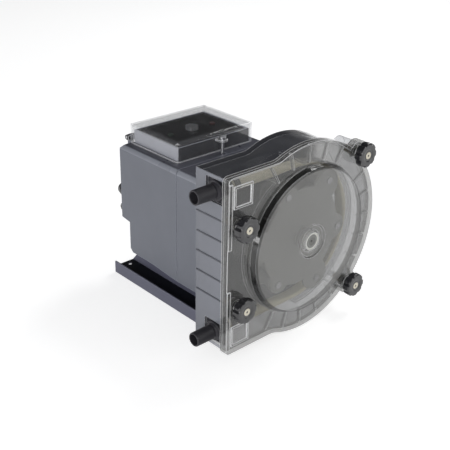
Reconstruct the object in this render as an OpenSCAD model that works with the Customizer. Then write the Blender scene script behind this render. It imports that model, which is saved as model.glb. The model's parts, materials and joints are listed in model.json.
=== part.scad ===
// Peristaltic metering pump: clear pump head with a six roller rotor, motor housing
// with a hinged clear lid over its controls, and a flanged base bracket.
// X runs to the right, Y to the rear and Z up. The origin is the middle of the base's underside.

/* [Base bracket] */
// Length of the base from front to rear
base_len = 240; // [232:1:250]
// Half of the base's width, to the outside of its lips
base_half = 111; // [108:1:125]
// Height of the outer lips
lip_h = 20; // [16:1:24]
// Height of the floor's underside above the ground
floor_z = 9; // [7:0.5:11]
// Thickness of the bracket's walls
base_t = 2.5; // [2:0.1:3]
// Half of the saddle's width at its foot
saddle_foot = 75; // [70:1:80]
// Half of the saddle's width at its top
saddle_top = 66; // [60:1:68]
// Distance of the bolt holes from the ends of the base
base_hole_end = 10; // [9:0.5:16]
// Distance of the bolt holes from the outside of the lips
base_hole_side = 23; // [18:0.5:26]
// Diameter of the bolt holes in the base
base_hole_d = 6.5; // [5:0.1:8]

/* [Motor housing] */
// Half of the housing's width
body_half = 93; // [89:1:96]
// Height of the housing's underside at the front
body_bottom = 35; // [32:1:38]
// Height of the housing's underside at the rear
rear_bottom = 40; // [39:0.5:44]
// Height of the housing's top
body_top = 218; // [214:1:222]
// Distance from the origin back to the rear face
body_rear = 120; // [119:0.5:124]
// Step from the rear face in to the lower rear face
rear_step = 20; // [14:1:24]
// Height of that step
step_z = 92; // [86:1:96]
// Gap from the base's front end forward to the housing's front face
base_gap = 6; // [5.5:0.5:8]
// Place of the seam between the two housings, from the origin
seam_y = -18; // [-24:1:-12]
// Wall thickness of the housings
body_wall = 4; // [3:0.25:5]
// Radius of the housing's long upper edges
body_round = 9; // [6:0.5:11]

/* [Controls and lid] */
// Half of the lid's width
lid_half = 77; // [75:0.5:80]
// Height of the lid above the housing's top
lid_h = 32; // [31:0.5:36]
// Wall thickness of the clear lid
lid_wall = 2.5; // [2:0.25:3]
// Place of the lid's front face, from the origin
lid_front = -1.5; // [-2:0.5:1]
// Place of the lid's rear face, from the origin
lid_rear = 117; // [116:0.5:118]
// Height of the control panel's plinth
plinth_h = 21.5; // [19:0.5:22]
// Gap from the lid's walls in to the plinth
plinth_gap = 3.5; // [3.5:0.25:6]
// Radius of the lid's hinge pins
lid_pin_r = 2; // [1.5:0.1:2.5]
// Diameter of the speed knob
speed_knob_d = 20; // [16:0.5:24]
// Height of the speed knob
speed_knob_h = 6; // [5:0.5:7]
// Diameter of the push buttons
button_d = 9; // [7:0.5:11]
// Travel of the push buttons
button_travel = 1; // [0.6:0.1:1.4]

/* [Pump head] */
// Height of the rotor's axis above the ground
axis_h = 145; // [144.5:0.5:150]
// Radius of the round part of the cover
cover_r = 143; // [141:0.5:144]
// Half of the height of the cover's straight left part
flange_half = 130; // [128:0.5:131]
// Distance from the axis to the cover's left edge
flange_left = 151; // [150:0.5:153]
// Depth of the cover's rim
flange_t = 12; // [10:0.5:13]
// Depth of the head housing behind the cover
head_depth = 54.5; // [54:0.5:58]
// Wall thickness of the clear mouldings
clear_wall = 4; // [3:0.25:5]
// Step from the cover's edge in to the head housing
head_inset = 3.5; // [3:0.25:5]
// Thickness of the head housing's rear wall
head_back = 5; // [4:0.25:6]
// Radius of the track that the tube lies in
track_r = 108; // [107:0.5:109]
// Radius of the raised disc at its foot
disc_r = 114; // [113:0.5:116]
// Height of the raised disc
disc_h = 10; // [8:0.5:12]

/* [Tube and fittings] */
// Outside radius of the tube
tube_r = 8; // [7.5:0.1:8.5]
// Wall thickness of the tube
tube_wall = 3.2; // [2.8:0.1:3.4]
// Depth of the tube's centre line behind the cover's front
tube_y = 30; // [29:0.5:31]
// Outside radius of the fittings' thread
thread_r = 10.45; // [9.5:0.05:11]
// Radius of the fittings' bore
fitting_bore_r = 4; // [3:0.1:4.2]
// Radius of the open end in the fittings' thread
fitting_mouth_r = 7.8; // [6.5:0.1:8]
// Reach of the fittings past the cover's left edge
fitting_reach = 31; // [26:0.5:34]
// Radius of the fittings' collar
collar_r = 14.5; // [13:0.25:15.5]

/* [Rotor] */
// Radius of the squeeze rollers' pitch circle
squeeze_pitch = 88; // [86:0.5:89]
// Radius of the guide rollers' pitch circle
guide_pitch = 76; // [73:0.5:77]
// Radius of the guide rollers' flanges
guide_r = 12.5; // [11:0.25:13]
// Length of all the rollers
roller_len = 30; // [28:0.5:31]
// Radius of the roller pins
pin_r = 4; // [3.5:0.1:4.5]
// Thickness of the rotor's plates
rotor_plate = 4; // [3:0.25:4.5]
// Radius of the drive shaft
shaft_r = 8; // [7:0.25:9]
// Angle of the first squeeze roller above the horizontal
rotor_angle = 55; // [0:1:119]

/* [Cover knobs] */
// Radius of the knobs
knob_r = 18; // [16:0.5:19]
// Thickness of a knob's grip
knob_h = 12; // [10:0.5:13]
// Number of flutes round a knob
knob_flutes = 8; // [6:1:10]
// Distance of the left knobs from the cover's left edge
knob_left_in = 22; // [21:0.5:24]
// Distance from the axis to the left knobs, up and down
knob_left_z = 60; // [56:0.5:64]
// Distance of the right knobs outside the cover's round part
knob_right_out = 1.3; // [0:0.1:3]
// Angle of the right knobs above and below the horizontal
knob_right_angle = 46.7; // [46:0.1:48]
// Radius of the knobs' studs
stud_r = 4; // [3.5:0.1:4.5]

/* [Gear train] */
// Size of a tooth of the gears, pitch diameter over teeth
gear_module = 1.5; // [1.4:0.05:1.55]
// Teeth of the gear on the drive shaft
gear_teeth = 48; // [44:1:50]
// Teeth of the motor's pinion
pinion_teeth = 12; // [11:1:14]
// Width of the gear's teeth
gear_w = 14; // [10:0.5:16]
// Radius of the motor
motor_r = 38; // [34:0.5:40]
// Length of the motor
motor_len = 105; // [90:1:115]

/* [Hidden] */
$fn = 64;

gap = 0.3;
fit = 0.05;
over = 1;
floor_top = floor_z + base_t;
body_front = base_len / 2 + base_gap;
head_y = -body_front - head_depth - flange_t;
head_rear = flange_t + head_depth;
edge_fn = 96;

squeezed = 2 * tube_wall;
squeeze_r = track_r - gap - squeezed - gap - squeeze_pitch;
tube_path_r = track_r - gap - tube_wall;
squeezed_w = 3.1416 * (tube_r - tube_wall / 2) - 3.1416 * tube_wall / 2 + tube_wall;

roller_front = tube_y - roller_len / 2;
roller_rear = tube_y + roller_len / 2;
plate_front = roller_front - gap - 0.7 - rotor_plate;
plate_rear = roller_rear + gap + 0.7;
squeeze_angles = [for (i = [0:2]) rotor_angle + 120 * i];
guide_angles = [for (i = [0:2]) rotor_angle + 60 + 120 * i];

knob_left_x = flange_left - knob_left_in;
knob_right_x = (cover_r + knob_right_out) * cos(knob_right_angle);
knob_right_z = (cover_r + knob_right_out) * sin(knob_right_angle);
knob_places = [[-knob_left_x, knob_left_z], [-knob_left_x, -knob_left_z],
    [knob_right_x, knob_right_z], [knob_right_x, -knob_right_z]];
ear_r = knob_r;
knob_seat = 3;
boss_r = 9;
insert_r = 6;
insert_len = 12;
ear_depth = insert_len + 16;
stud_end = flange_t + 5.7;
washer_t = 1;

head_screw_x = body_half - 30;
head_screw_up = body_top - axis_h - 21;
head_screw_down = track_r - 36;
head_screw_places = [for (x = [-head_screw_x, head_screw_x], z = [head_screw_up, -head_screw_down]) [x, z]];
seal_r = 16;
seal_boss_r = 22;
seal_boss_h = 7;
bushing_r = 13;
neck_r = 6;
bearing_r = 17.5;
bearing_w = 11;

gear_pitch_r = gear_module * gear_teeth / 2;
pinion_pitch_r = gear_module * pinion_teeth / 2;
motor_z = axis_h - gear_pitch_r - pinion_pitch_r;
gear_y = -body_front + body_wall + bearing_w + 8;
plate_y = gear_y + gear_w + 8;
gear_plate_t = 6;
motor_y = plate_y + gear_plate_t;

hinge_x = lid_half - 7;
hinge_y = lid_rear + 5;
hinge_z = body_top + 7;
plinth_half = lid_half - lid_wall - plinth_gap;
plinth_front = lid_front + lid_wall + plinth_gap - 1;
plinth_rear = lid_rear - lid_wall - plinth_gap;
panel_drop = 1;
panel_t = 2.5;
panel_z = body_top + plinth_h - panel_drop - panel_t;

module along_y(y0, h) {
    translate([0, y0 + h, 0]) rotate([90, 0, 0]) linear_extrude(h) children();
}

module turned(y0 = 0) {
    translate([0, y0, 0]) rotate([-90, 0, 0]) rotate_extrude($fn = edge_fn) children();
}

module rod(r, y0, h, fn = 64) {
    translate([0, y0, 0]) rotate([-90, 0, 0]) cylinder(r = r, h = h, $fn = fn);
}

module at_head() {
    translate([0, head_y, axis_h]) children();
}

module place(p) {
    translate([p[0], 0, p[1]]) children();
}

module polar(r, a) {
    translate([r * cos(a), 0, r * sin(a)]) children();
}

// Outline of the clear mouldings: a round part, a straight left part and two ears
module head_outline(inset, ears = true) {
    fillet = 30;
    fillet_x = sqrt(pow(cover_r + fillet, 2) - pow(flange_half + fillet, 2));
    corner = max(4, inset + 0.5);
    r = cover_r - inset;
    circle(r = r, $fn = edge_fn);
    translate([-flange_left + inset, -flange_half + corner])
        square([flange_left - fillet_x, 2 * (flange_half - corner)]);
    translate([-flange_left + corner, -flange_half + inset])
        square([flange_left - corner - 40, 2 * (flange_half - inset)]);
    for (s = [-1, 1]) {
        translate([-flange_left + corner, s * (flange_half - corner)]) circle(r = corner - inset, $fn = 32);
        difference() {
            polygon([[-fillet_x, s * (flange_half - 20)], [-fillet_x, s * (flange_half - inset)],
                [-fillet_x * cover_r / (cover_r + fillet), s * (flange_half + fillet) * r / (cover_r + fillet)],
                [-fillet_x / 2, s * (flange_half - 20)]]);
            translate([-fillet_x, s * (flange_half + fillet)]) circle(r = fillet + inset, $fn = edge_fn);
        }
        if (ears) head_ear(s, inset);
    }
}

// Ear for a right hand knob, blended into the round part
module head_ear(s, inset) {
    r = ear_r - inset;
    translate([knob_right_x, s * knob_right_z]) circle(r = r, $fn = edge_fn);
    polygon([[knob_right_x - r + 1, s * knob_right_z], [knob_right_x - r + 1, s * (knob_right_z + 7)],
        [knob_right_x, s * (knob_right_z + r)], [knob_right_x + r, s * knob_right_z],
        [knob_right_x + 8, s * (knob_right_z - 24)], [40, s * 60]]);
}

// One side of the base: its strip of floor and its outer lip
module base_side(s) {
    color("slategray") difference() {
        union() {
            translate([s > 0 ? 0 : -base_half, -base_len / 2, floor_z]) cube([base_half, base_len, base_t]);
            translate([s * (base_half - base_t / 2) - base_t / 2, -base_len / 2, 0])
                cube([base_t, base_len, lip_h]);
        }
        saddle(0, over);
        for (y = [-1, 1])
            translate([s * (base_half - base_hole_side), y * (base_len / 2 - base_hole_end), 0])
                cylinder(d = base_hole_d, h = lip_h, $fn = 48);
    }
}

module base_side_left() {
    base_side(-1);
}

module base_side_right() {
    base_side(1);
}

module base_saddle() {
    color("slategray") difference() {
        saddle(0);
        saddle(base_t);
        for (p = foot_places) translate([p[0], p[1], body_bottom - base_t - over])
            cylinder(r = foot_screw_r + 0.4, h = base_t + 2 * over, $fn = 32);
    }
}

// Stiffening ribs across the floor's underside
module base_ribs() {
    color("slategray") for (y = [-base_len / 2 + 40, 0, base_len / 2 - 40])
        translate([-base_half + base_t, y - base_t / 2, 0])
            cube([2 * (base_half - base_t), base_t, floor_z]);
}

foot_screw_r = 3;
foot_x = saddle_top - 21;
foot_front = body_front - 31;
foot_rear = body_rear - 49;
foot_half = 8;
foot_h = 14;
foot_places = [for (x = [-foot_x, foot_x], y = [-foot_front, foot_rear]) [x, y]];

// The raised middle of the base that the housing stands on
module saddle(wall, past = 0) {
    rise = body_bottom - floor_top;
    slope = (saddle_foot - saddle_top) / rise;
    end_slope = 0.65;
    top = body_bottom - wall;
    low = wall > 0 || past > 0 ? floor_z - over : floor_z;
    foot = saddle_foot - wall + slope * (floor_top - low);
    end = base_len / 2 - wall + past;
    intersection() {
        translate([0, base_len / 2 + over, 0]) rotate([90, 0, 0]) linear_extrude(base_len + 2 * over)
            polygon([[-foot, low], [foot, low], [saddle_top - wall + slope * wall, top],
                [-saddle_top + wall - slope * wall, top]]);
        translate([-base_half, 0, 0]) rotate([90, 0, 90]) linear_extrude(2 * base_half)
            polygon([[-end, low], [end, low], [end, floor_top],
                [end - end_slope * (top - floor_top), top], [-end, top]]);
    }
}

module base_screws() {
    color("silver") for (p = foot_places) translate([p[0], p[1], 0]) {
        translate([0, 0, body_bottom - base_t - 4]) cylinder(r = 5.5, h = 4, $fn = 32);
        translate([0, 0, body_bottom - base_t - 0.1]) cylinder(r = foot_screw_r, h = base_t + 8, $fn = 32);
    }
}

// Side outline of the whole housing, front to rear by bottom to top
module body_side(inset) {
    polygon([[-body_front + inset, body_bottom + inset], [seam_y, body_bottom + inset],
        [50, rear_bottom + inset], [body_rear - rear_step - 6, rear_bottom + inset],
        [body_rear - rear_step - inset, rear_bottom + 6 + inset / 2], [body_rear - rear_step - inset, step_z + inset],
        [body_rear - inset, step_z + 3 + inset], [body_rear - inset, body_top - 6],
        [body_rear - 6, body_top - inset], [-body_front + inset, body_top - inset]]);
}

// End outline of the housing with its rounded long upper edges
module body_end(inset) {
    w = body_half - inset;
    r = body_round - inset / 2;
    translate([-w, 0]) square([2 * w, body_top - body_round]);
    translate([-w + r, 0]) square([2 * (w - r), body_top - inset]);
    for (s = [-1, 1]) translate([s * (w - r), body_top - inset - r]) circle(r = r, $fn = 48);
}

module body_block(inset) {
    intersection() {
        translate([-body_half, 0, 0]) rotate([90, 0, 90]) linear_extrude(2 * body_half) body_side(inset);
        translate([0, body_rear + over, 0]) rotate([90, 0, 0]) linear_extrude(body_rear + body_front + 2 * over)
            body_end(inset);
    }
}

module y_range(y0, y1) {
    translate([-200, y0, 0]) cube([400, y1 - y0, 300]);
}

module gear_housing() {
    color("slategray") difference() {
        union() {
            intersection() {
                difference() {
                    body_block(0);
                    body_block(body_wall);
                }
                y_range(-body_front, seam_y - 0.6);
            }
            intersection() {
                difference() {
                    body_block(body_wall / 2);
                    body_block(body_wall);
                }
                y_range(seam_y - 2, seam_y + 5);
            }
            intersection() {
                body_block(1);
                y_range(-body_front + 0.5, -body_front + body_wall);
            }
            translate([0, 0, axis_h]) rod(bearing_r + 6, -body_front + 1, bearing_w + 3);
            translate([-foot_x - foot_half, -foot_front - foot_half, body_bottom + 1])
                cube([2 * (foot_x + foot_half), 2 * foot_half, foot_h - 2]);
            for (p = housing_screw_places)
                translate([p[0] > 0 ? p[0] - screw_in : 1 - body_half, seam_y - screw_reach - 10, p[1] - screw_boss])
                    cube([body_half - 1 - abs(p[0]) + screw_in, screw_reach + 10, 2 * screw_boss]);
        }
        for (p = housing_screw_places) translate([p[0], 0, p[1]])
            rod(housing_screw_r + fit, seam_y - screw_reach - 6, screw_reach + 8, 32);
        translate([0, 0, axis_h]) rod(bearing_r + 0.02, -body_front + body_wall, bearing_w + over + 3);
        translate([0, 0, axis_h]) rod(shaft_r + 1, -body_front - over, body_wall + 2 * over);
        for (p = head_screw_places)
            translate([p[0], 0, axis_h + p[1]]) rod(2.5, -body_front - over, body_wall + 2 * over, 32);
        for (p = foot_places)
            translate([p[0], p[1], body_bottom - over]) cylinder(r = foot_screw_r, h = 10, $fn = 32);
    }
}

// Slot in the housing's top that the lid's catch drops through and turns under
module catch_slot() {
    translate([catch_x - catch_r - 1, catch_y - catch_tab - 1.6, body_top - body_wall - over])
        cube([2 * catch_r + 2, 2 * catch_tab + 2.4, body_wall + 2 * over]);
}

module motor_housing() {
    color("slategray") difference() {
        union() {
            intersection() {
                difference() {
                    body_block(0);
                    body_block(body_wall);
                }
                y_range(seam_y + 0.6, body_rear);
            }
            for (x = [-foot_x, foot_x]) translate([x - foot_half, foot_rear - foot_half, body_bottom])
                cube([2 * foot_half, 2 * foot_half, rear_bottom - body_bottom + body_wall + 6]);
            for (s = [-1, 1]) hinge_lug(s);
        }
        intersection() {
            body_block(body_wall / 2 - 0.1);
            y_range(seam_y, seam_y + 5 + gap);
        }
        for (p = foot_places)
            translate([p[0], p[1], body_bottom - over]) cylinder(r = foot_screw_r, h = 10, $fn = 32);
        for (p = gland_places)
            translate([p[0], 0, p[1]]) rod(p[2], body_rear - body_wall - over, body_wall + 2 * over, 48);
        translate([-board_half, plinth_front + board_in, body_top - body_wall - over])
            cube([2 * board_half, board_len, body_wall + 2 * over]);
        catch_slot();
        for (p = housing_screw_places) translate([p[0], 0, p[1]])
            rod(housing_screw_r + fit, seam_y, body_rear - seam_y + over, 32);
        for (s = [-1, 1]) translate([s * hinge_x - 12, hinge_y, hinge_z]) rotate([0, 90, 0])
            cylinder(r = lid_pin_r + fit, h = 24, $fn = 32);
    }
}

gland_places = [[18 - body_half, 133, 8], [14 - body_half, 105, 5]];
housing_screw_r = 2.5;
screw_reach = 14;
screw_boss = 7;
screw_in = 5;
housing_screw_places = [for (x = [16 - body_half, body_half - 16], z = [body_bottom + 24, body_top - 24])
    [x, z, body_rear - (z < step_z ? rear_step : 0)]];

// Ear that carries the lid's hinge pin
module hinge_lug(s) {
    w = 5;
    translate([s * hinge_x - w / 2, hinge_y, hinge_z]) rotate([0, 90, 0]) cylinder(r = 4.5, h = w, $fn = 32);
    translate([s * hinge_x - w / 2, hinge_y - 4.5, body_top - 12]) cube([w, 9, hinge_z - body_top + 12]);
}

module housing_screws() {
    color("silver") for (p = housing_screw_places) translate([p[0], 0, p[1]]) {
        rod(2 * housing_screw_r, p[2], 3, 32);
        rod(housing_screw_r, seam_y - screw_reach, p[2] - seam_y + screw_reach + 1, 32);
    }
}

// Spacer tubes round the long screws, from the seam to the rear wall
module screw_sleeves() {
    color("silver") for (p = housing_screw_places) translate([p[0], 0, p[1]]) difference() {
        rod(2 * housing_screw_r, seam_y + gap, p[2] - body_wall - seam_y - gap, 32);
        rod(housing_screw_r + fit, seam_y, p[2] - seam_y, 32);
    }
}

module control_plinth() {
    color("darkgray") difference() {
        translate([-plinth_half, plinth_front, body_top])
            cube([2 * plinth_half, plinth_rear - plinth_front, plinth_h]);
        translate([-plinth_half + 3, plinth_front + 3, body_top - over])
            cube([2 * plinth_half - 6, plinth_rear - plinth_front - 6, plinth_h + 2 * over]);
    }
}

module control_panel() {
    color("black") difference() {
        translate([-plinth_half + 3, plinth_front + 3, panel_z])
            cube([2 * plinth_half - 6, plinth_rear - plinth_front - 6, panel_t]);
        translate([0, panel_mid, panel_z - over]) cylinder(r = 4 + fit, h = panel_t + 2 * over, $fn = 32);
        for (x = button_xs) translate([x, panel_mid, panel_z - over])
            cylinder(r = button_d / 2 + gap, h = panel_t + 2 * over, $fn = 32);
    }
}

panel_mid = (plinth_front + plinth_rear) / 2;
button_xs = [-42, 42];

module speed_knob() {
    z = panel_z + panel_t + gap;
    color("silver") translate([0, panel_mid, 0]) {
        difference() {
            translate([0, 0, z]) cylinder(d = speed_knob_d, h = speed_knob_h, $fn = 64);
            for (i = [0:11]) rotate([0, 0, 30 * i]) translate([speed_knob_d / 2 + 0.6, 0, z - over])
                cylinder(r = 1.6, h = speed_knob_h + 2 * over, $fn = 24);
            translate([-0.6, 2, z + speed_knob_h - 0.8]) cube([1.2, speed_knob_d / 2, 2]);
        }
        translate([0, 0, panel_z - 6]) cylinder(r = 4, h = 6 + panel_t + 2 * gap, $fn = 32);
    }
}

module push_button(x, shade) {
    color(shade) translate([x, panel_mid, 0]) {
        translate([0, 0, panel_z - 3]) cylinder(d = button_d, h = panel_t + 3 + button_travel + 1, $fn = 32);
        translate([0, 0, panel_z - 3]) cylinder(d = button_d + 4, h = 3 - gap, $fn = 32);
    }
}

module start_button() {
    push_button(button_xs[0], "green");
}

module stop_button() {
    push_button(button_xs[1], "red");
}

board_z = panel_z - 3 - button_travel - 5;
board_in = 8;
board_end = 11;
board_half = plinth_half - board_in;
board_len = plinth_rear - plinth_front - 2 * board_end;

module circuit_board() {
    w = board_half;
    l = board_len;
    color("darkgreen") {
        translate([-w, panel_mid - l / 2, board_z]) cube([2 * w, l, 1.6]);
        translate([0, panel_mid, board_z + 1.6]) cylinder(r = 8, h = panel_z - 6 - gap - board_z - 1.6, $fn = 32);
        for (x = button_xs) translate([x - 4, panel_mid - 4, board_z + 1.6]) cube([8, 8, 5 - 1.6 - gap]);
        for (p = [[-46, -24], [-22, -28], [26, -26]])
            translate([p[0], panel_mid + p[1], board_z - 18]) cylinder(r = 8, h = 18.5, $fn = 32);
        translate([-30, panel_mid + 14, board_z - 12]) cube([60, 16, 12.5]);
        for (x = [-1, 1], y = [-1, 1])
            translate([x * (w - 6), panel_mid + y * (l / 2 - 6), board_z + 1]) cylinder(r = 3.5, h = panel_z - board_z - 1, $fn = 24);
    }
}

catch_x = 5;
catch_y = lid_front - 7;
catch_z = body_top + lid_h - 13;
catch_r = 2.4;
catch_tab = 4.5;

// Clear box that covers the controls, with a lug for its catch and two hinge knuckles
module lid() {
    z0 = body_top + gap;
    color("gainsboro", 0.4) difference() {
        union() {
            difference() {
                lid_block(0, z0);
                lid_block(lid_wall, z0 - over);
            }
            translate([catch_x, catch_y, catch_z]) cylinder(r = 8, h = 3, $fn = 48);
            translate([catch_x - 8, catch_y, catch_z]) cube([16, lid_front - catch_y + 1, 3]);
            for (s = [-1, 1]) for (o = [-1, 1])
                translate([s * hinge_x + o * 5.6 - 2.5, hinge_y, hinge_z]) rotate([0, 90, 0]) {
                    cylinder(r = 4, h = 5, $fn = 32);
                    translate([-4, -hinge_y + lid_rear - 0.5, 0]) cube([8, hinge_y - lid_rear + 0.5, 5]);
                }
        }
        translate([catch_x, catch_y, catch_z - over]) cylinder(r = catch_r + fit, h = 3 + 2 * over, $fn = 32);
        for (s = [-1, 1]) translate([s * hinge_x - 12, hinge_y, hinge_z]) rotate([0, 90, 0])
            cylinder(r = lid_pin_r + fit, h = 24, $fn = 32);
    }
}

lid_corner = 8;
lid_edge = 6.5;

// Rounded box of the lid, smaller by inset on every side but open below
module lid_block(inset, z0) {
    r = lid_corner - inset;
    e = lid_edge - inset;
    top = body_top + lid_h - inset;
    x = lid_half - inset;
    y0 = lid_front + inset;
    y1 = lid_rear - inset;
    intersection() {
        union() {
            translate([-x + r, y0, z0]) cube([2 * (x - r), y1 - y0, top - z0]);
            translate([-x, y0 + r, z0]) cube([2 * x, y1 - y0 - 2 * r, top - z0]);
            for (sx = [-1, 1], yy = [y0 + r, y1 - r]) translate([sx * (x - r), yy, z0])
                cylinder(r = r, h = top - z0, $fn = 48);
        }
        translate([0, y1 + over, 0]) rotate([90, 0, 0]) linear_extrude(y1 - y0 + 2 * over) union() {
            translate([-x, z0]) square([2 * x, top - e - z0]);
            translate([-x + e, z0]) square([2 * (x - e), top - z0]);
            for (s = [-1, 1]) translate([s * (x - e), top - e]) circle(r = e, $fn = 32);
        }
        translate([-x - over, 0, 0]) rotate([90, 0, 90]) linear_extrude(2 * x + 2 * over) union() {
            translate([y0, z0]) square([y1 - y0, top - e - z0]);
            translate([y0 + e, z0]) square([y1 - y0 - 2 * e, top - z0]);
            for (yy = [y0 + e, y1 - e]) translate([yy, top - e]) circle(r = e, $fn = 32);
        }
    }
}

module lid_hinge_pins() {
    color("silver") for (s = [-1, 1])
        translate([s * hinge_x - 8.2, hinge_y, hinge_z]) rotate([0, 90, 0])
            cylinder(r = lid_pin_r, h = 16.4, $fn = 32);
}

// Quarter turn catch that holds the lid down
module lid_catch() {
    catch_low = body_top - body_wall - gap - 3;
    color("silver") translate([catch_x, catch_y, 0]) {
        translate([0, 0, catch_z + 3 + gap]) cylinder(r = 5, h = 3, $fn = 32);
        translate([-6.5, -1.2, catch_z + 3 + gap + 2]) cube([13, 2.4, 4]);
        translate([0, 0, catch_low]) cylinder(r = catch_r, h = catch_z + 4 - catch_low, $fn = 32);
        translate([-1.5, -catch_tab, catch_low]) cube([3, 2 * catch_tab, 3]);
    }
}

// Cable gland with its body, nut flats and domed cap
module gland(p) {
    x = p[0];
    z = p[1];
    r = p[2];
    color("dimgray") translate([x, body_rear, z]) difference() {
        union() {
            rod(r - 0.1, -body_wall - 5, body_wall + 6, 48);
            rod(r + 4, 0.1, 5, 6);
            rod(r + 3, 5, r * 1.2, 48);
            turned(5 + r * 1.2) polygon([[0, 0], [r + 3, 0], [r + 1, r * 0.9], [0, r * 0.9]]);
        }
        rod(r * 0.45, -body_wall - 6, 60, 32);
    }
}

module inlet_gland() {
    gland(gland_places[0]);
}

module signal_gland() {
    gland(gland_places[1]);
}

// Clear tub behind the cover, with its track ring, fitting windows and stud bosses
module head_housing() {
    window_z = 33;
    window_y0 = tube_y - 17;
    window_y1 = tube_y + 17;
    rib_step = 29.4;
    color("gainsboro", 0.4) at_head() difference() {
        union() {
            difference() {
                union() {
                    along_y(flange_t, head_depth) head_outline(head_inset, false);
                    along_y(flange_t, ear_depth) for (s = [-1, 1]) head_ear(s, head_inset);
                }
                along_y(flange_t - over, head_depth - head_back + over)
                    head_outline(head_inset + clear_wall, false);
            }
            difference() {
                along_y(flange_t + 2, head_depth - head_back) difference() {
                    circle(r = track_r + clear_wall, $fn = edge_fn);
                    circle(r = track_r, $fn = edge_fn);
                }
                for (s = [-1, 1])
                    translate([-track_r - 10, flange_t, s * (tube_path_r + 2) - 12]) cube([track_r + 10 - 0.5, head_depth - head_back - 0.1, 24]);
            }
            for (p = knob_places) place(p)
                rod(boss_r, flange_t + gap, (p[0] < 0 ? head_depth - 1 : ear_depth) - gap, 48);
            rod(seal_boss_r, head_rear - head_back - seal_boss_h, seal_boss_h + 1);
            for (i = [-2:2])
                translate([-flange_left + head_inset - 1.2, flange_t + 1, rib_step * i + 8 - 0.9]) cube([2, head_depth - 3, 1.8]);
        }
        for (s = [-1, 1])
            translate([-flange_left - 5, window_y0, s * tube_path_r - window_z / 2])
                cube([5 + head_inset + clear_wall + 1, window_y1 - window_y0, window_z]);
        rod(shaft_r + 1, 0, head_rear + over);
        rod(seal_r + 0.02, head_rear - head_back - seal_boss_h - over, seal_boss_h + over);
        for (p = head_screw_places) place(p) rod(3.2, head_rear - head_back - over, head_back + 2 * over, 32);
        for (p = knob_places) place(p) {
            rod(insert_r + 0.02, flange_t - over, insert_len + gap + over, 48);
            rod(stud_r + 0.6, flange_t, ear_depth - 4, 48);
        }
    }
}

module head_screws() {
    color("silver") at_head() for (p = head_screw_places) place(p) difference() {
        union() {
            rod(5, head_rear - head_back - 4, 4, 32);
            rod(2.5 - fit, head_rear - head_back - 0.1, head_back + body_wall + 3, 32);
        }
        rod(2.5, head_rear - head_back - 5, 3.5, 6);
    }
}

module threaded_inserts() {
    color("goldenrod") at_head() for (p = knob_places) place(p) difference() {
        rod(insert_r, flange_t + gap, insert_len, 48);
        rod(stud_r + fit, flange_t, insert_len + 2 * over, 48);
    }
}

module squeezed_section() {
    half = squeezed_w / 2 - tube_wall;
    square([squeezed, 2 * half], center = true);
    for (s = [-1, 1]) translate([0, s * half]) circle(r = tube_wall, $fn = 32);
}

tube_end = flange_left - 28;
clamp_in = 12;

// Tube round the track, drawn squeezed wherever the rollers can be
module tube() {
    squeeze_end = 12;
    round_start = 46;
    color("wheat") at_head() translate([0, tube_y, 0]) {
        rotate([-90, 0, 0]) rotate([0, 0, -90]) rotate_extrude(angle = 180, $fn = edge_fn)
            translate([tube_path_r, 0]) squeezed_section();
        for (s = [-1, 1]) translate([0, 0, s * tube_path_r]) rotate([0, -90, 0]) {
            translate([0, 0, -0.01]) linear_extrude(squeeze_end) squeezed_section();
            hull() {
                translate([0, 0, squeeze_end - 0.02]) linear_extrude(0.01) squeezed_section();
                translate([0, 0, round_start]) cylinder(r = tube_r, h = 0.01, $fn = 32);
            }
            translate([0, 0, round_start]) difference() {
                cylinder(r = tube_r, h = tube_end - round_start, $fn = 48);
                translate([0, 0, 4]) cylinder(r = tube_r - tube_wall, h = tube_end, $fn = 48);
            }
        }
    }
}

// Hose fitting: outer pipe thread, collar in the window, stop flange and inner barb
module fitting(s) {
    wall_x = flange_left - head_inset;
    tip = flange_left + fitting_reach;
    inner = wall_x - clear_wall;
    stop_half = flange_half - head_inset - clear_wall - tube_path_r - gap;
    barb_end = tube_end - 20;
    color("dimgray") at_head() translate([0, tube_y, s * tube_path_r]) rotate([0, -90, 0]) difference() {
        union() {
            translate([0, 0, wall_x + 2]) cylinder(r = thread_r, h = tip - wall_x - 2, $fn = 64);
            translate([0, 0, inner - 1]) cylinder(r = collar_r, h = clear_wall + 5, $fn = 64);
            translate([-stop_half, -18.5, inner - 4 - gap]) cube([2 * stop_half, 37, 4]);
            translate([0, 0, barb_end]) cylinder(r = tube_r - tube_wall - 0.02, h = inner - barb_end - 1, $fn = 48);
            translate([0, 0, tube_end + 0.5]) cylinder(r = tube_r + 1, h = inner - 4 - tube_end, $fn = 48);
        }
        translate([0, 0, 0]) cylinder(r = fitting_bore_r, h = tip + over, $fn = 48);
        translate([0, 0, tip - 20]) cylinder(r = fitting_mouth_r, h = 20 + over, $fn = 64);
    }
}

module inlet_fitting() {
    fitting(-1);
}

module outlet_fitting() {
    fitting(1);
}

module tube_clamps() {
    color("black") at_head() for (s = [-1, 1])
        translate([0, tube_y, s * tube_path_r]) rotate([0, -90, 0]) difference() {
            union() {
                translate([0, 0, tube_end - clamp_in]) cylinder(r = tube_r + 2.2, h = 8, $fn = 48);
                translate([-s * 4 - 4, tube_r, tube_end - clamp_in]) cube([8, 5, 8]);
            }
            translate([0, 0, tube_end - clamp_in - over]) cylinder(r = tube_r + 0.02, h = 10, $fn = 48);
        }
}

module shaft_seal() {
    color("black") at_head() difference() {
        rod(seal_r, head_rear - head_back - seal_boss_h, seal_boss_h - 0.5);
        rod(shaft_r + fit, 0, head_rear);
    }
}

module drive_shaft() {
    rear = plate_y + gear_plate_t - 1;
    color("silver") at_head() difference() {
        union() {
            rod(neck_r, -disc_h + 1, plate_front + disc_h);
            rod(shaft_r, plate_front, rear - head_y - plate_front);
        }
        turned(-disc_h) polygon([[0, 0], [2.6, 0], [0, 4]]);
    }
}

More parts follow.
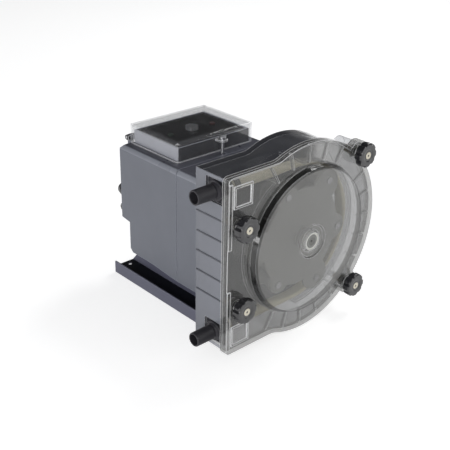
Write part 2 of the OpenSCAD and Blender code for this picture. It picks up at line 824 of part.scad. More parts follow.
module ball_bearing(outer, inner, w) {
    mid = (outer + inner) / 2;
    turned() difference() {
        translate([inner, 0]) square([outer - inner, w]);
        translate([mid - 2.5, -1]) square([5, 2]);
        translate([mid - 2.5, w - 1]) square([5, 2]);
    }
}

module front_bearing() {
    color("lightgray") translate([0, -body_front + body_wall, axis_h])
        ball_bearing(bearing_r, shaft_r + fit, bearing_w);
}

module rear_bearing() {
    color("lightgray") translate([0, plate_y, axis_h])
        ball_bearing(14, shaft_r + fit, gear_plate_t);
}

function involute(base_r, t) = [base_r * (cos(t) + t * PI / 180 * sin(t)), base_r * (sin(t) - t * PI / 180 * cos(t))];

// Outline of an involute gear with one tooth centred on the X axis
module gear_outline(teeth, backlash = 0.12) {
    pressure = 20;
    pitch_r = gear_module * teeth / 2;
    base_r = pitch_r * cos(pressure);
    tip_r = pitch_r + gear_module;
    root_r = pitch_r - 1.25 * gear_module;
    start_r = max(base_r, root_r);
    t_end = sqrt(pow(tip_r / base_r, 2) - 1) * 180 / PI;
    t_start = start_r > base_r ? sqrt(pow(start_r / base_r, 2) - 1) * 180 / PI : 0;
    flank = tan(pressure) * 180 / PI - pressure;
    half = 90 / teeth + flank - backlash / 2 / pitch_r * 180 / PI;
    steps = 4;
    side = [for (i = [0:steps]) involute(base_r, t_start + (t_end - t_start) * i / steps)];
    polygon([for (k = [0:teeth - 1]) let (a = 360 * k / teeth) each concat(
        [[root_r * cos(a - 180 / teeth), root_r * sin(a - 180 / teeth)],
            [root_r * cos(a - half), root_r * sin(a - half)]],
        [for (i = [0:steps]) let (p = side[i])
            [p[0] * cos(a - half) - p[1] * sin(a - half), p[0] * sin(a - half) + p[1] * cos(a - half)]],
        [for (i = [steps:-1:0]) let (p = side[i])
            [p[0] * cos(a + half) + p[1] * sin(a + half), p[0] * sin(a + half) - p[1] * cos(a + half)]],
        [[root_r * cos(a + half), root_r * sin(a + half)]])]);
}

module drive_gear() {
    color("goldenrod") translate([0, 0, axis_h]) difference() {
        union() {
            along_y(gear_y, gear_w) rotate(-90) gear_outline(gear_teeth);
            rod(shaft_r + 6, gear_y + gear_w - 1, 6);
        }
        rod(shaft_r + 0.02, gear_y - over, gear_w + 10);
        for (i = [0:5]) polar(gear_pitch_r * 0.62, 60 * i) rod(gear_pitch_r * 0.17, gear_y - over, gear_w + 2 * over, 32);
    }
}

module motor_pinion() {
    half_tooth = 180 / pinion_teeth;
    color("silver") translate([0, 0, motor_z]) {
        along_y(gear_y - 1, gear_w + 2) rotate(90 + half_tooth) gear_outline(pinion_teeth);
        rod(3.5, gear_y - 1, plate_y - gear_y + gear_plate_t + 9, 32);
    }
}

plate_screw_x = body_half - 18;
plate_screw_places = [for (x = [-plate_screw_x, plate_screw_x], z = [body_bottom + 18, body_top - 18]) [x, z]];
motor_screw_places = [for (x = [-20, 20], z = [-20, 20]) [x, motor_z + z]];

module gear_plate() {
    w = body_half - body_wall - 6;
    color("lightgray") difference() {
        translate([-w, plate_y, body_bottom + 8]) cube([2 * w, gear_plate_t, body_top - body_bottom - 20]);
        translate([0, 0, axis_h]) rod(14.02, plate_y - over, gear_plate_t + 2 * over);
        translate([0, 0, motor_z]) rod(6, plate_y - over, gear_plate_t + 2 * over);
        for (p = concat(plate_screw_places, motor_screw_places))
            translate([p[0], 0, p[1]]) rod(2.7, plate_y - over, gear_plate_t + 2 * over, 32);
    }
}

// Pillars between the housing's front wall and the gear plate
module plate_pillars() {
    start = body_wall - body_front;
    color("silver") for (p = plate_screw_places) translate([p[0], 0, p[1]]) difference() {
        rod(6, start, plate_y - start, 32);
        rod(2.5, plate_y - 12, 12 + over, 32);
    }
}

// Screws of the gear plate, from behind into the housing and from the front into the motor
module plate_screws() {
    color("silver") {
        for (p = plate_screw_places) translate([p[0], 0, p[1]]) {
            rod(4.5, plate_y + gear_plate_t, 3, 32);
            rod(2.45, plate_y - 10, gear_plate_t + 11, 32);
        }
        for (p = motor_screw_places) translate([p[0], 0, p[1]]) {
            rod(4.5, plate_y - 3, 3, 32);
            rod(2.45, plate_y - 1, gear_plate_t + 8, 32);
        }
    }
}

module motor() {
    color("dimgray") translate([0, 0, motor_z]) difference() {
        union() {
            rod(motor_r, motor_y, motor_len);
            rod(motor_r + 2.5, motor_y, 8);
            rod(motor_r + 2.5, motor_y + motor_len - 10, 10);
            rod(10, motor_y + motor_len - 1, 5, 48);
        }
        rod(3.6, motor_y - over, 14, 32);
        for (x = [-20, 20], z = [-20, 20]) translate([x, 0, z]) rod(2.5, motor_y - over, 10, 32);
    }
}

// Plate of the rotor: three long lobes at the squeeze rollers, three short at the guides
module rotor_plate_at(y0) {
    along_y(y0, rotor_plate) difference() {
        union() {
            circle(r = squeeze_pitch - 14, $fn = edge_fn);
            for (a = squeeze_angles) rotate(a) translate([squeeze_pitch - 8, 0]) circle(r = 24, $fn = 64);
            for (a = guide_angles) rotate(a) translate([guide_pitch - 7, 0]) circle(r = 20, $fn = 64);
        }
        circle(r = shaft_r + 0.02, $fn = 64);
        for (a = squeeze_angles) rotate(a) translate([squeeze_pitch, 0]) circle(r = pin_r + 0.02, $fn = 32);
        for (a = guide_angles) rotate(a) translate([guide_pitch, 0]) circle(r = pin_r + 0.02, $fn = 32);
    }
}

module rotor_front_plate() {
    color("gray") at_head() rotor_plate_at(plate_front);
}

module rotor_back_plate() {
    color("gray") at_head() rotor_plate_at(plate_rear);
}

module rotor_hub() {
    hub_r = 3 * shaft_r;
    inner = plate_rear - plate_front - rotor_plate;
    color("gray") at_head() difference() {
        union() {
            rod(hub_r, plate_front + rotor_plate, inner);
            rod(15, plate_front - 3, 3);
            for (i = [0:5]) rotate([0, -60 * i - rotor_angle - 30, 0])
                translate([hub_r - 4, plate_front + rotor_plate + 0.8, -1.5])
                    cube([squeeze_pitch - hub_r - 30, inner - 1.6, 3]);
        }
        rod(shaft_r + 0.02, plate_front - 4, 60);
    }
}

module roller_pins() {
    color("silver") at_head() {
        for (a = squeeze_angles) polar(squeeze_pitch, a) roller_pin();
        for (a = guide_angles) polar(guide_pitch, a) roller_pin();
    }
}

module roller_pin() {
    rod(pin_r, plate_front - 0.5, plate_rear + rotor_plate + 0.5 - plate_front, 32);
    rod(pin_r + 1, plate_front - 2, 2, 32);
}

module squeeze_roller(i) {
    edge = 1.5;
    color("white") at_head() polar(squeeze_pitch, squeeze_angles[i]) difference() {
        turned(roller_front) polygon([[0, 0], [squeeze_r - edge, 0], [squeeze_r, edge],
            [squeeze_r, roller_len - edge], [squeeze_r - edge, roller_len], [0, roller_len]]);
        rod(pin_r + fit, roller_front - over, roller_len + 2 * over, 32);
    }
}

module guide_roller(i) {
    waist = guide_r - 4;
    rim = 4;
    color("white") at_head() polar(guide_pitch, guide_angles[i]) difference() {
        turned(roller_front) polygon([[0, 0], [guide_r, 0], [guide_r, rim], [waist, rim + 4],
            [waist, roller_len - rim - 4], [guide_r, roller_len - rim], [guide_r, roller_len], [0, roller_len]]);
        rod(pin_r + fit, roller_front - over, roller_len + 2 * over, 32);
    }
}

module squeeze_roller_1() {
    squeeze_roller(0);
}

module squeeze_roller_2() {
    squeeze_roller(1);
}

module squeeze_roller_3() {
    squeeze_roller(2);
}

module guide_roller_1() {
    guide_roller(0);
}

module guide_roller_2() {
    guide_roller(1);
}

module guide_roller_3() {
    guide_roller(2);
}

// Profile of the raised disc from its foot to the bushing's pocket, radius by depth
module disc_profile() {
    t = 3;
    foot = disc_r;
    polygon([[foot, 0], [foot - 3, -1.2], [foot - 6, -disc_h + 1.6], [foot - 9, -disc_h],
        [60, -disc_h - 1.4], [25, -disc_h - 1.8], [23, -disc_h + 0.8], [bushing_r + 4, -disc_h + 0.8],
        [bushing_r + 3, -disc_h - 0.6], [bushing_r + 0.02, -disc_h - 0.6], [bushing_r + 0.02, 2],
        [bushing_r + 4, 2], [bushing_r + 4, -disc_h + 0.8 + t], [24, -disc_h + 0.8 + t],
        [26, -disc_h - 1.8 + t], [60, -disc_h - 1.4 + t], [foot - 10.5, -disc_h + t], [foot - 8.4, -disc_h + t + 0.6],
        [foot - 5.5, 1.2], [foot - 2, clear_wall], [foot + 1, clear_wall], [foot + 1, 0]]);
}

module front_cover() {
    bead = 1.8;
    color("gainsboro", 0.4) at_head() difference() {
        union() {
            along_y(0, clear_wall) difference() {
                head_outline(0);
                circle(r = disc_r, $fn = edge_fn);
            }
            along_y(clear_wall - 0.5, flange_t - clear_wall + 0.5 - gap) difference() {
                head_outline(0);
                head_outline(clear_wall);
            }
            turned() disc_profile();
            for (a = [-120:15:120]) if (abs(a) != 45)
                rotate([0, -a, 0]) translate([disc_r, clear_wall - 0.5, -1]) cube([cover_r - disc_r - 2, 5.5, 2]);
            for (s = [-1, 1]) {
                translate([-flange_left, -bead, s > 0 ? 31 : -flange_half + 8]) cube([6, bead + 1, flange_half - 8 - 31]);
                pocket_frame(s);
            }
            for (p = knob_places) place(p) rod(boss_r, -knob_seat, flange_t - gap + knob_seat, 48);
        }
        for (p = knob_places) place(p) rod(stud_r + 0.6, -knob_seat - over, flange_t + knob_seat + 2 * over, 48);
        for (p = knob_places) place(p) rod(stud_r + 3.4, flange_t - gap - 3 - 8, 12, 48);
    }
}

// Raised frame with a sunk middle beside each fitting
module pocket_frame(s) {
    x0 = -flange_left + 9;
    w = 32;
    h = 31;
    z0 = s > 0 ? 87 : -87 - h;
    difference() {
        translate([x0, -1.5, z0]) cube([w, 2.5, h]);
        translate([x0 + 3, -2.5, z0 + 3]) cube([w - 6, 4, h - 6]);
    }
}

// Nylon bushing in the cover that carries the front end of the shaft
module cover_bushing() {
    color("white") at_head() difference() {
        rod(bushing_r, -disc_h, disc_h + 1.5);
        rod(neck_r + fit, -disc_h - over, disc_h + 4);
        turned(-disc_h) translate([8, -0.5]) square([2, 1.5]);
    }
}

// Fluted knob with its stud and a pale plug in its face
module knob(i) {
    front = -knob_seat - gap - 2.5 - knob_h;
    color("black") at_head() place(knob_places[i]) {
        difference() {
            turned(front) polygon([[0, 0], [knob_r - 1.5, 0], [knob_r, 1.5], [knob_r, knob_h - 1.5], [knob_r - 1.5, knob_h], [0, knob_h]]);
            for (k = [0:knob_flutes - 1]) rotate([0, 360 / knob_flutes * (k + 0.5), 0])
                translate([knob_r + 2.2, 0, 0]) rod(4.2, front - over, knob_h + 2 * over, 32);
            rod(2.6, front - over, 5, 32);
        }
        rod(boss_r, front + knob_h - 0.5, 3, 48);
        rod(stud_r, front + knob_h, stud_end - front - knob_h, 32);
    }
}

module knob_1() {
    knob(0);
}

module knob_2() {
    knob(1);
}

module knob_3() {
    knob(2);
}

module knob_4() {
    knob(3);
}

// Snap washer that keeps a knob's stud in the cover
module knob_washer(i) {
    color("white") at_head() place(knob_places[i]) difference() {
        rod(stud_r + 3, flange_t - gap - 2.5 - washer_t, washer_t, 48);
        rod(stud_r + fit, flange_t - 6, 6, 48);
    }
}

module knob_washer_1() {
    knob_washer(0);
}

module knob_washer_2() {
    knob_washer(1);
}

module knob_washer_3() {
    knob_washer(2);
}

module knob_washer_4() {
    knob_washer(3);
}

base_side_left();
base_side_right();
base_saddle();
base_ribs();
base_screws();
gear_housing();
motor_housing();
housing_screws();
control_plinth();
control_panel();
speed_knob();
start_button();
stop_button();
circuit_board();
lid();
lid_hinge_pins();
lid_catch();
inlet_gland();
signal_gland();
head_housing();
head_screws();
threaded_inserts();
tube();
inlet_fitting();
outlet_fitting();
tube_clamps();
shaft_seal();
drive_shaft();
front_bearing();
rear_bearing();
drive_gear();
gear_plate();
plate_pillars();
plate_screws();
screw_sleeves();
motor();
motor_pinion();
rotor_front_plate();
rotor_back_plate();
rotor_hub();
roller_pins();
squeeze_roller_1();
squeeze_roller_2();
squeeze_roller_3();
guide_roller_1();
guide_roller_2();
guide_roller_3();
front_cover();
cover_bushing();
knob_1();
knob_2();
knob_3();
knob_4();
knob_washer_1();
knob_washer_2();
knob_washer_3();
knob_washer_4();
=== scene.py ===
import json
from math import cos, hypot, pi, radians, sin, sqrt

import bmesh
import bpy
from mathutils import Matrix, Vector

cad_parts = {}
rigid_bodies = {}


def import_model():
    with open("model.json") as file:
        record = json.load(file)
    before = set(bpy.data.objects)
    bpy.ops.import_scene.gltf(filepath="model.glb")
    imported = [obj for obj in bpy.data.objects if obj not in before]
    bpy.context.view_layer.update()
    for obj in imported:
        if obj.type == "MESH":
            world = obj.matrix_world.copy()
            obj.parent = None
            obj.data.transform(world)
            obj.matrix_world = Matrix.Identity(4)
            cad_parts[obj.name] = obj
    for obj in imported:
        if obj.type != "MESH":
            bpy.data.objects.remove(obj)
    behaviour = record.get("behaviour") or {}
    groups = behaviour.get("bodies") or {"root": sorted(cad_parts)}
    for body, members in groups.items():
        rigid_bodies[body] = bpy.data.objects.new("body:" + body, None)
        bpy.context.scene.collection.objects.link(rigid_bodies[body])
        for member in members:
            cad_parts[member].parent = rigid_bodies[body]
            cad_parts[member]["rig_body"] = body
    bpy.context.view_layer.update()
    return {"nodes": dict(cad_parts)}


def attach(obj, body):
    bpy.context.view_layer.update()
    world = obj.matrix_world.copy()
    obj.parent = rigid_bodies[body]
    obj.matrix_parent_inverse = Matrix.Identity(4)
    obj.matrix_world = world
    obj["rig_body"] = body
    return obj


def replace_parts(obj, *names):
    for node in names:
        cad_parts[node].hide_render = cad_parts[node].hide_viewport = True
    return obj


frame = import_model()

MM = 0.001

# Places and sizes of the pump, in millimetres, as the solids have them
AXIS_Z = 145.0
HEAD_Y = -192.5
KNOBS = [(-129.0, 60.0), (-129.0, -60.0), (99.0, 105.0), (99.0, -105.0)]
KNOB_FRONT = -17.8
KNOB_R = 18.0
KNOB_H = 12.0
FLUTES = 8
FLUTE_CUT_R = 4.2
FLUTE_CUT_OUT = 2.2
STUD_R = 4.0
STUD_END = 17.7
STUD_PITCH = 1.25
TUBE_PATH_R = 104.5
TUBE_Y = 30.0

# Hose fitting: distances from the rotor's axis, and sizes
HOSE_TIP = 182.0
THREAD_START = 153.0
THREAD_R = 10.44
THREAD_DEPTH = 1.05
THREAD_PITCH = 1.81
THREAD_TAPER = 1 / 90
FLANGE_AT = 141.2
FLANGE = (36.6, 3.8, 35.0)

# Edges sharper than this many degrees are rounded, and those below the second are shaded smooth
ROUND_ABOVE = 38.0
SMOOTH_BELOW = 30.0
ROUND_STEPS = 2
COVER_CORNER_R = 7.5

# A face looks along an axis when its normal's share of it is above this
FACING = 0.9

# Limits between the zones that have a finish of their own, in millimetres
DISC_R = 106.6
DISC_WALL_R = (104.0, 114.6)
DISC_WALL_DEPTH = 4.2
DISC_DEPTH = -5.0
TUB_BACK_DEPTH = 61.0
TUB_SIDE_X = -147.2
TUB_RIB_X = -147.9
TUB_RIB_DEPTH = 70.0
BASE_FLOOR_Z = 14.0
HOUSING_TOP_Z = 190.0
HINGE_Y = 118.2
BUSH_RING_R = 9.5

# Camera fitted to the photograph: target and distance in metres, angles in degrees
CAMERA_TARGET = (-0.1562, -0.1925, 0.2156)
CAMERA_FAR = 1.0475
CAMERA_TURN = 42.61
CAMERA_LIFT = 25.95
CAMERA_ROLL = 1.09
CAMERA_LENS = 67.08

# Square lamps: name, place and side in metres, and watts
LAMPS = [("Key", (-2.2, -0.9, 0.75), 1.2, 31),
         ("Front", (0.9, -2.3, 0.7), 1.4, 14),
         ("Rim", (2.0, 0.3, 2.0), 1.0, 26)]
LAMPS_AIM = (0, -0.05, 0.12)


def linear(red, green, blue):
    """Scene colour for screen values from 0 to 255."""
    values = [v / 255 for v in (red, green, blue)]
    return tuple(v / 12.92 if v <= 0.04045 else ((v + 0.055) / 1.055) ** 2.4 for v in values)


def shade(colour, factor):
    return tuple(min(1.0, v * factor) for v in colour)


class Wire:
    """A value in a node tree, with sums and products that add Math nodes."""

    def __init__(self, kit, socket):
        self.kit = kit
        self.socket = socket

    def __add__(self, other):
        return self.kit.math("ADD", self, other)

    def __radd__(self, other):
        return self.kit.math("ADD", other, self)

    def __sub__(self, other):
        return self.kit.math("SUBTRACT", self, other)

    def __rsub__(self, other):
        return self.kit.math("SUBTRACT", other, self)

    def __mul__(self, other):
        return self.kit.math("MULTIPLY", self, other)

    def __rmul__(self, other):
        return self.kit.math("MULTIPLY", other, self)

    def __pow__(self, other):
        return self.kit.math("POWER", self, other)


class Kit:
    """The node tree of one material or of the world."""

    def __init__(self, owner, ending="ShaderNodeOutputMaterial"):
        owner.use_nodes = True
        self.owner = owner
        self.ending = ending
        self.tree = owner.node_tree
        self.tree.nodes.clear()

    def node(self, kind, settings=None, sockets=None, out=0):
        made = self.tree.nodes.new(kind)
        for key, value in (settings or {}).items():
            if key == "stops":
                ramp = made.color_ramp
                while len(ramp.elements) < len(value):
                    ramp.elements.new(0.5)
                for element, (place, level) in zip(ramp.elements, value):
                    element.position = place
                    element.color = (level, level, level, 1)
            else:
                setattr(made, key, value)
        for key, value in (sockets or {}).items():
            self.feed(made.inputs[key], value)
        return Wire(self, made.outputs[out])

    def feed(self, socket, value):
        if isinstance(value, Wire):
            self.tree.links.new(value.socket, socket)
        elif socket.type == "RGBA" and len(value) == 3:
            socket.default_value = (*value, 1)
        else:
            socket.default_value = value

    def outputs(self, names, kind, sockets=None):
        """Several outputs of one node, by name."""
        made = self.node(kind, sockets=sockets).socket.node
        return [Wire(self, made.outputs[name]) for name in names]

    def math(self, operation, *values):
        return self.node("ShaderNodeMath", {"operation": operation}, dict(enumerate(values)))

    def place(self):
        return self.node("ShaderNodeTexCoord", out="Object")

    def place_parts(self):
        return self.outputs("XYZ", "ShaderNodeSeparateXYZ", {0: self.place()})

    def noise(self, scale, detail=3.0, rough=0.55, stretch=None, warp=0.0):
        vector = self.place()
        if stretch:
            vector = self.node("ShaderNodeMapping", sockets={0: vector, 3: stretch})
        return self.node("ShaderNodeTexNoise", sockets={
            "Vector": vector, "Scale": scale, "Detail": detail, "Roughness": rough, "Distortion": warp})

    def scuffs(self, scale, rough, warp, low, high):
        """Thin worn streaks: the peaks of a noise, from a low level up to a high one."""
        return self.node("ShaderNodeValToRGB", {"stops": [(low, 0.0), (high, 1.0)]},
                         {0: self.noise(scale, 6, rough, warp=warp)})

    def span(self, value, start, end, first, last):
        """Carries a value from start..end over to first..last, and holds it at the ends."""
        return self.node("ShaderNodeMapRange", sockets={0: value, 1: start, 2: end, 3: first, 4: last})

    def blend(self, factor, first, second):
        return self.node("ShaderNodeMix", {"data_type": "RGBA"}, {0: factor, 6: first, 7: second}, out=2)

    def mix(self, factor, first, second):
        return self.node("ShaderNodeMixShader", sockets={0: factor, 1: first, 2: second})

    def passing(self, colour):
        return self.node("ShaderNodeBsdfTransparent", sockets={"Color": colour})

    def bump(self, height, strength, distance):
        return self.node("ShaderNodeBump", sockets={
            "Strength": strength, "Distance": distance, "Height": height})

    def creases(self, reach):
        """One at edges and inner corners, falling to zero at a reach, in metres, from them."""
        soft = self.node("ShaderNodeBevel", {"samples": 8}, {"Radius": reach})
        plain = self.node("ShaderNodeNewGeometry", out="Normal")
        alike = self.node("ShaderNodeVectorMath", {"operation": "DOT_PRODUCT"}, {0: soft, 1: plain},
                          out="Value")
        return self.span(alike, 0.95, 0.85, 0.0, 1.0)

    def done(self, shader):
        output = self.tree.nodes.new(self.ending)
        self.tree.links.new(shader.socket, output.inputs["Surface"])
        return self.owner


def moulded(name, colour, rough, grain=0.35, gloss=0.3, edge_highlight=0.0):
    """Moulded plastic or paint: soft cloudiness, a fine grain, a few scuffs, and painted highlights that pale
    its edges and inner corners.
    """
    kit = Kit(bpy.data.materials.new(name))
    cloud = kit.noise(14, 4)
    grit = kit.noise(900, 2, 0.6)
    scuff = kit.scuffs(60, 0.75, 1.2, 0.62, 0.74)
    base = kit.blend(cloud, shade(colour, 0.86), shade(colour, 1.14))
    base = kit.blend(scuff * 0.12, base, shade(colour, 1.6))
    # Painted highlight: edges and inner corners lightened towards a pale copy of the colour
    if edge_highlight:
        base = kit.blend(kit.creases(0.0016) * edge_highlight, base, shade(colour, 3.2))
    return kit.done(kit.node("ShaderNodeBsdfPrincipled", sockets={
        "Base Color": base,
        "Roughness": rough - 0.08 + cloud * 0.12 + scuff * 0.08,
        "Specular IOR Level": gloss,
        "Normal": kit.bump(grit, grain, 0.00015)}))


def brushed(name, colour, rough, stretch):
    """Turned or brushed metal with fine lines and a slightly uneven sheen."""
    kit = Kit(bpy.data.materials.new(name))
    lines = kit.noise(700, 4, 0.7, stretch)
    cloud = kit.noise(25, 3)
    return kit.done(kit.node("ShaderNodeBsdfPrincipled", sockets={
        "Base Color": kit.blend(cloud, shade(colour, 0.82), shade(colour, 1.1)),
        "Roughness": rough - 0.06 + lines * 0.16,
        "Metallic": 1.0,
        "Normal": kit.bump(lines, 0.25, 0.0001)}))


def clear(name, tint, haze, body, rough=0.04, mask=None, edge_highlight=0.0, reach=0.0018):
    """Smoked clear moulding: tinted see-through, a little haze, painted highlights along edges and inner
    corners, and gloss that grows where it is seen askew. A mask adds haze in places, for painted highlights
    along the lid's edges and painted shade on the tub's back, and shadows under it stay light."""
    kit = Kit(bpy.data.materials.new(name))
    cloud = kit.noise(9, 4, 0.6)
    scuff = kit.scuffs(75, 0.72, 1.0, 0.6, 0.76)
    rim = kit.node("ShaderNodeLayerWeight", sockets={"Blend": 0.25}, out="Facing")
    wave = kit.bump(kit.noise(6, 2, 0.5), 0.25, 0.0006)
    share = haze * 0.8 + cloud * haze * 0.4 + rim * haze * 0.8 + scuff * 0.02
    colour = kit.blend(cloud, shade(body, 0.9), shade(body, 1.1))
    # Painted highlight: edges and inner corners turn hazy and near white
    if edge_highlight:
        crease = kit.creases(reach)
        share = share + crease * edge_highlight
        colour = kit.blend(crease, colour, linear(250, 250, 252))
    if mask:
        share = share + mask(kit)
    mist = kit.node("ShaderNodeBsdfPrincipled", sockets={
        "Base Color": colour,
        "Roughness": 0.45,
        "Specular IOR Level": 0.2})
    gloss = kit.node("ShaderNodeBsdfPrincipled", sockets={
        "Base Color": (1.0, 1.0, 1.0),
        "Metallic": 1.0,
        "Roughness": rough + scuff * 0.15,
        "Normal": wave})
    askew = kit.node("ShaderNodeLayerWeight", sockets={"Blend": 0.5, "Normal": wave}, out="Facing")
    whole = kit.mix(askew ** 5 * 0.9 + 0.04, kit.mix(share, kit.passing(tint), mist), gloss)
    shadow = kit.node("ShaderNodeLightPath", out="Is Shadow Ray")
    return kit.done(kit.mix(shadow * 0.7, whole, kit.passing((0.95, 0.95, 0.95))))


def border(half_x, mid_y, half_y, wide, strength):
    """Extra haze in a band along the four edges of a box: a painted highlight for the light that thick clear
    edges catch.
    """
    def mask(kit):
        x, y = kit.place_parts()[:2]
        across = kit.math("ABSOLUTE", x)
        along = kit.math("ABSOLUTE", y - mid_y)
        near = kit.math("MAXIMUM", across - half_x, along - half_y)
        return kit.span(near, -wide, -wide + 0.0015, 0.0, strength)
    return mask


def beside(start, end):
    """Dark haze that hides what lies behind on the left as painted shade, and thins to nothing between two
    places across.
    """
    def mask(kit):
        return kit.span(kit.place_parts()[0], start, end, 1.0, 0.0)
    return mask


FINISH = {
    "housing": moulded("Blue grey housing", linear(120, 123, 132), 0.42, grain=0.3, edge_highlight=0.5),
    # Painted shade: the housing's top faces darker than its sides
    "housing top": moulded("Housing top painted shade", linear(84, 85, 94), 0.3, grain=0.3, gloss=0.4, edge_highlight=0.8),
    # Painted highlight: the housing's upper rounded edge lighter
    "housing edge": moulded("Housing edge painted highlight", linear(146, 149, 158), 0.3, grain=0.3, gloss=0.5),
    "base": moulded("Base paint", linear(96, 97, 114), 0.36, grain=0.22, edge_highlight=0.5),
    "base floor": moulded("Shaded base floor", linear(26, 27, 34), 0.5, grain=0.2, gloss=0.15),
    "worn": moulded("Worn base edge", linear(150, 151, 160), 0.3, grain=0.2),
    "plinth": moulded("Grey plinth", linear(172, 174, 184), 0.4, grain=0.25, edge_highlight=0.4),
    # Painted shade: the plinth's front faces, a shaded black copy of its grey
    "plinth front": moulded("Plinth front painted shade", linear(22, 22, 27), 0.3, grain=0.2, gloss=0.12),
    "panel": moulded("Black panel", linear(12, 12, 14), 0.22, grain=0.12, gloss=0.05),
    "black": moulded("Black moulding", linear(36, 36, 39), 0.24, grain=0.3, gloss=0.8, edge_highlight=0.8),
    "fitting": moulded("Charcoal fitting", linear(52, 51, 56), 0.38),
    "rotor": moulded("Grey rotor moulding", linear(158, 158, 155), 0.45, grain=0.3),
    "nylon": moulded("Natural nylon", linear(226, 226, 220), 0.4, grain=0.2),
    "bush": moulded("Grey nylon", linear(140, 141, 138), 0.35, grain=0.2),
    "cream": moulded("Cream plug", linear(232, 226, 208), 0.42, grain=0.2),
    "tube": moulded("Cream tube", linear(246, 236, 208), 0.5, grain=0.3),
    "seal": moulded("Black rubber", linear(30, 30, 31), 0.6, grain=0.4),
    "board": moulded("Board lacquer", linear(26, 84, 48), 0.3, grain=0.2),
    "motor": moulded("Motor enamel", linear(44, 45, 50), 0.4, grain=0.3),
    "start": moulded("Green button", linear(30, 48, 36), 0.3, grain=0.15),
    "stop": moulded("Red button", linear(64, 27, 25), 0.3, grain=0.15),
    "shaft end": brushed("Turned shaft", linear(118, 118, 116), 0.4, (1.0, 0.05, 1.0)),
    "steel": brushed("Turned steel", linear(196, 197, 200), 0.3, (1.0, 0.05, 1.0)),
    "alloy": brushed("Satin alloy", linear(206, 207, 210), 0.34, (0.06, 1.0, 1.0)),
    "brass": brushed("Cut brass", linear(214, 178, 104), 0.3, (1.0, 0.05, 1.0)),
    "cover": clear("Smoked cover", (0.73, 0.73, 0.727), 0.13, linear(150, 150, 148), edge_highlight=1.0, reach=0.0024),
    # Painted highlight: pale, hazy rounded edges of the cover
    "cover edge": clear("Cover edge painted highlight", (0.9, 0.9, 0.9), 0.5, linear(226, 226, 226)),
    # Painted sheen: the disc's face paler and hazier than the rest of the cover
    "disc": clear("Smoked disc painted sheen", (0.9, 0.9, 0.897), 0.2, linear(150, 150, 148), rough=0.06, edge_highlight=1.0,
                  reach=0.0024),
    # Painted shade: the dark ring where the disc's wall stands in the cover
    "disc wall": clear("Disc wall painted shade", (0.45, 0.45, 0.45), 0.12, linear(70, 70, 70), edge_highlight=1.0),
    "tub": clear("Smoked tub", (0.84, 0.843, 0.85), 0.07, linear(140, 143, 152), edge_highlight=0.9, reach=0.002),
    # Painted highlight: pale, hazy rounded edges of the tub
    "tub edge": clear("Tub edge painted highlight", (0.85, 0.855, 0.87), 0.4, linear(214, 217, 226)),
    # Painted shade: the tub's back wall dark, with dark haze on its left
    "tub back": clear("Tub back painted shade", (0.84, 0.84, 0.84), 0.06, linear(60, 60, 65), rough=0.08,
                      mask=beside(0.055, 0.085)),
    # Painted light: the tub's left wall hazier and paler, a lit copy of the tub's clear
    "tub side": clear("Tub side painted light", (0.7, 0.705, 0.72), 0.55, linear(144, 147, 157), rough=0.08),
    # Painted shade: the ribs on the tub's left wall dark
    "tub rib": clear("Tub rib painted shade", (0.5, 0.5, 0.52), 0.5, linear(96, 98, 106), rough=0.08),
    # Painted highlight: a hazy band along the edges of the lid's top
    "lid": clear("Clear lid", (0.93, 0.932, 0.935), 0.012, linear(214, 215, 220), rough=0.03,
                 mask=border(0.077, 0.05775, 0.059, 0.0075, 0.05), edge_highlight=1.0, reach=0.003),
    # Painted highlight: pale, hazy rounded edges of the lid
    "lid edge": clear("Lid edge painted highlight", (0.95, 0.95, 0.955), 0.5, linear(236, 237, 240)),
}

# Solids that are shown as they are, under the finish they get
KEPT = {
    "steel": ["base_screws", "housing_screws", "head_screws", "plate_screws", "plate_pillars",
              "screw_sleeves", "lid_hinge_pins", "roller_pins", "motor_pinion", "front_bearing",
              "rear_bearing"],
    "alloy": ["gear_plate", "speed_knob", "lid_catch"],
    "brass": ["threaded_inserts", "drive_gear"],
    "tube": ["tube"],
    "shaft end": ["drive_shaft"],
    "seal": ["shaft_seal"],
    "motor": ["motor"],
    "board": ["circuit_board"],
    "black": ["tube_clamps", "inlet_gland", "signal_gland"],
    "start": ["start_button"],
    "stop": ["stop_button"],
    "bush": [f"{kind}_roller_{i}" for kind in ("squeeze", "guide") for i in (1, 2, 3)],
    "nylon": [f"knob_washer_{i}" for i in (1, 2, 3, 4)],
    "rotor": ["rotor_hub"],
}


def paint(node, finish):
    materials = frame["nodes"][node].data.materials
    materials.clear()
    materials.append(FINISH[finish])


def piece(shape, name, finish, body, angle=SMOOTH_BELOW, more=()):
    """Makes a finished piece of a bmesh, in metres, and rides it on its body."""
    shape.normal_update()
    mesh = bpy.data.meshes.new(name)
    for part in (finish, *more):
        mesh.materials.append(FINISH[part])
    shape.to_mesh(mesh)
    shape.free()
    made = bpy.data.objects.new(name, mesh)
    bpy.context.scene.collection.objects.link(made)
    for face in mesh.polygons:
        face.use_smooth = True
    mesh.set_sharp_from_angle(angle=radians(angle))
    even = made.modifiers.new("Even shading", "WEIGHTED_NORMAL")
    even.keep_sharp = True
    even.weight = 80
    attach(made, body)
    return made


